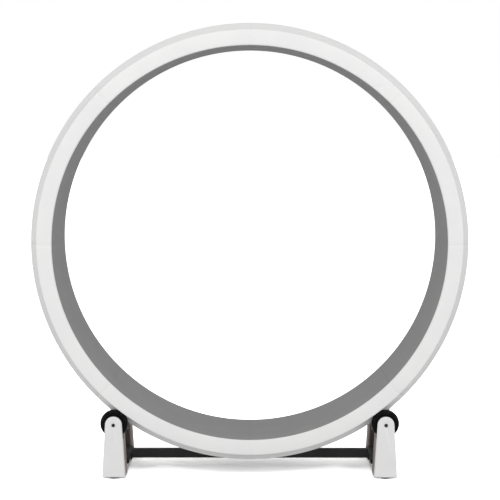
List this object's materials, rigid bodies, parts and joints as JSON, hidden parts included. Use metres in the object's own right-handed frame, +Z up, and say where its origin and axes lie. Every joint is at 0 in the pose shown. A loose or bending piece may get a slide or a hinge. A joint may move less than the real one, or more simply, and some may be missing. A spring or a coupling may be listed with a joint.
{
  "type": "cat exercise wheel",
  "caption": "Upright running wheel for a cat: a broad ring with a foam track inside, turning on rollers between the pedestals of a low frame.",
  "frame": {"origin": "on the floor, midway between the four feet and below the wheel's middle", "axes": "+Z up, +Y along the wheel's spin axis to the rear, +X to the right seen from the front"},
  "size_m": [1.22, 0.3052, 1.266],
  "materials": {
    "white_panel": "satin white moulded plastic",
    "white_shell": "satin white moulded plastic",
    "grey_foam": "matt closed-cell foam",
    "peg_plastic": "moulded",
    "black_tyre": "smooth cast polyurethane",
    "black_hub": "moulded",
    "bearing_steel": "ground",
    "dark_bracket": "matt warm grey",
    "black_metal": "satin powder coat",
    "black_bolt": "black oxide",
    "zinc_steel": "zinc plated",
    "foot_rubber": "matt"
  },
  "bodies": {
    "stand": {"pedestal_front_left": "white_shell", "pedestal_front_right": "white_shell", "pedestal_rear_left": "white_shell", "pedestal_rear_right": "white_shell", "roller_bracket_front_left": "dark_bracket", "roller_bracket_front_right": "dark_bracket", "roller_bracket_rear_left": "dark_bracket", "roller_bracket_rear_right": "dark_bracket", "rubber_foot_front_left": "foot_rubber", "rubber_foot_front_right": "foot_rubber", "rubber_foot_rear_left": "foot_rubber", "rubber_foot_rear_right": "foot_rubber", "side_rail_left": "black_metal", "side_rail_right": "black_metal", "side_runner_left": "white_shell", "side_runner_right": "white_shell", "cross_bar": "black_metal", "axle_bolts": "black_bolt", "axle_nuts": "zinc_steel", "axle_washers": "zinc_steel", "bracket_screws": "zinc_steel", "foot_screws": "zinc_steel", "rail_screws": "zinc_steel", "bar_bolts": "black_bolt", "bar_nuts": "zinc_steel"},
    "wheel": {"wheel_panel_1": "white_panel", "wheel_panel_2": "white_panel", "wheel_panel_3": "white_panel", "wheel_panel_4": "white_panel", "wheel_panel_5": "white_panel", "wheel_panel_6": "white_panel", "wheel_panel_7": "white_panel", "wheel_panel_8": "white_panel", "running_mat_1": "grey_foam", "running_mat_2": "grey_foam", "running_mat_3": "grey_foam", "running_mat_4": "grey_foam", "running_mat_5": "grey_foam", "running_mat_6": "grey_foam", "running_mat_7": "grey_foam", "running_mat_8": "grey_foam", "panel_pegs": "peg_plastic"},
    "roller_front_left": {"roller_tyre_front_left": "black_tyre", "roller_hub_front_left": "black_hub", "roller_bearings_front_left": "bearing_steel", "bearing_spacer_front_left": "bearing_steel"},
    "roller_front_right": {"roller_tyre_front_right": "black_tyre", "roller_hub_front_right": "black_hub", "roller_bearings_front_right": "bearing_steel", "bearing_spacer_front_right": "bearing_steel"},
    "roller_rear_left": {"roller_tyre_rear_left": "black_tyre", "roller_hub_rear_left": "black_hub", "roller_bearings_rear_left": "bearing_steel", "bearing_spacer_rear_left": "bearing_steel"},
    "roller_rear_right": {"roller_tyre_rear_right": "black_tyre", "roller_hub_rear_right": "black_hub", "roller_bearings_rear_right": "bearing_steel", "bearing_spacer_rear_right": "bearing_steel"}
  },
  "joints": [
    {"name": "wheel_spin", "type": "hinge", "parent": "stand", "child": "wheel", "pos_m": [0, 0, 0.656], "axis": [0, 1, 0], "continuous": true},
    {"name": "roller_spin_front_left", "type": "hinge", "parent": "stand", "child": "roller_front_left", "pos_m": [-0.3802, -0.1235, 0.15328], "axis": [0, 1, 0], "continuous": true},
    {"name": "roller_spin_front_right", "type": "hinge", "parent": "stand", "child": "roller_front_right", "pos_m": [0.3802, -0.1235, 0.15328], "axis": [0, 1, 0], "continuous": true},
    {"name": "roller_spin_rear_left", "type": "hinge", "parent": "stand", "child": "roller_rear_left", "pos_m": [-0.3802, 0.1235, 0.15328], "axis": [0, 1, 0], "continuous": true},
    {"name": "roller_spin_rear_right", "type": "hinge", "parent": "stand", "child": "roller_rear_right", "pos_m": [0.3802, 0.1235, 0.15328], "axis": [0, 1, 0], "continuous": true}
  ],
  "couplings": [
    {"joint": "roller_spin_front_left", "follows": "wheel_spin", "ratio": -15.154},
    {"joint": "roller_spin_front_right", "follows": "wheel_spin", "ratio": -15.154},
    {"joint": "roller_spin_rear_left", "follows": "wheel_spin", "ratio": -15.154},
    {"joint": "roller_spin_rear_right", "follows": "wheel_spin", "ratio": -15.154}
  ]
}
